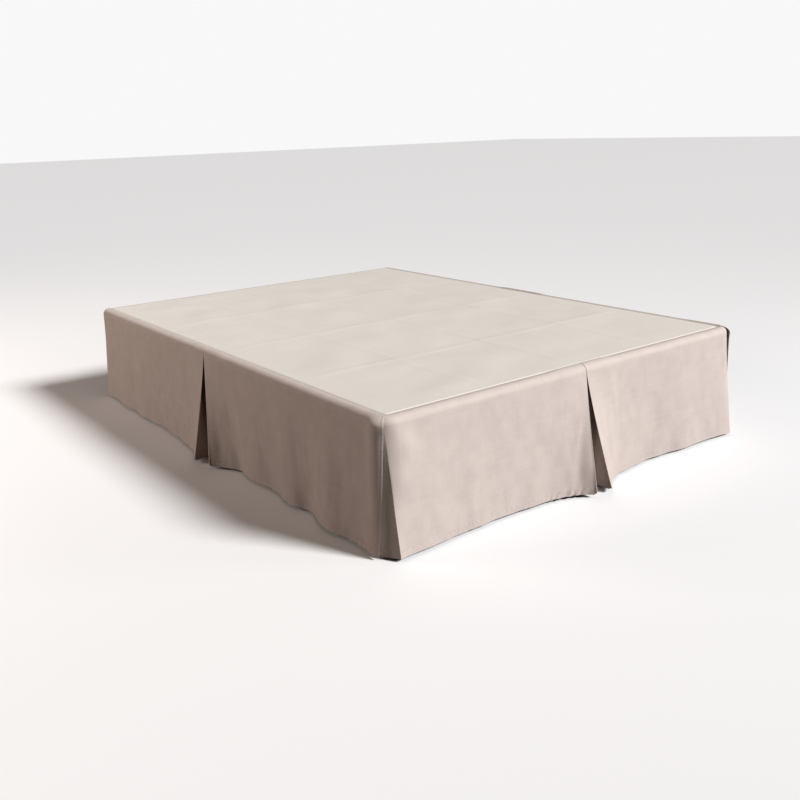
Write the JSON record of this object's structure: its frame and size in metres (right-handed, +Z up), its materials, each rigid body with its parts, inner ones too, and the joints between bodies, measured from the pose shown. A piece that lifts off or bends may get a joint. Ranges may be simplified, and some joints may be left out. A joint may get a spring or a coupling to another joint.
{
  "type": "bed skirt on a box spring and bed frame",
  "caption": "Tailored bed skirt of plain cloth with a box pleat in each drop, split corners and an open head end, on a box spring and a steel bed frame.",
  "frame": {"origin": "on the floor under the middle of the whole part", "axes": "+Z up, +Y along the bed from its foot to its head, +X to the right seen from the foot"},
  "size_m": [1.692, 2.1359, 0.3942],
  "materials": {
    "drop_cloth": "plain close cotton weave, matt with a faint sheen",
    "deck_cloth": "plain thin unbleached weave, matt",
    "ticking": "plain woven ticking, matt",
    "frame_steel": "powder coat, satin",
    "glide_plastic": "moulded, matt"
  },
  "bodies": {
    "root": {"deck": "deck_cloth", "side_drop_left": "drop_cloth", "side_drop_right": "drop_cloth", "foot_drop": "drop_cloth", "box_spring": "ticking", "side_rail_left": "frame_steel", "side_rail_right": "frame_steel", "cross_rail_foot": "frame_steel", "cross_rail_middle": "frame_steel", "cross_rail_head": "frame_steel", "leg_left_foot": "frame_steel", "leg_left_middle": "frame_steel", "leg_left_head": "frame_steel", "leg_right_foot": "frame_steel", "leg_right_middle": "frame_steel", "leg_right_head": "frame_steel", "leg_centre": "frame_steel", "glide_left_foot": "glide_plastic", "glide_left_middle": "glide_plastic", "glide_left_head": "glide_plastic", "glide_right_foot": "glide_plastic", "glide_right_middle": "glide_plastic", "glide_right_head": "glide_plastic", "glide_centre": "glide_plastic"}
  },
  "joints": []
}
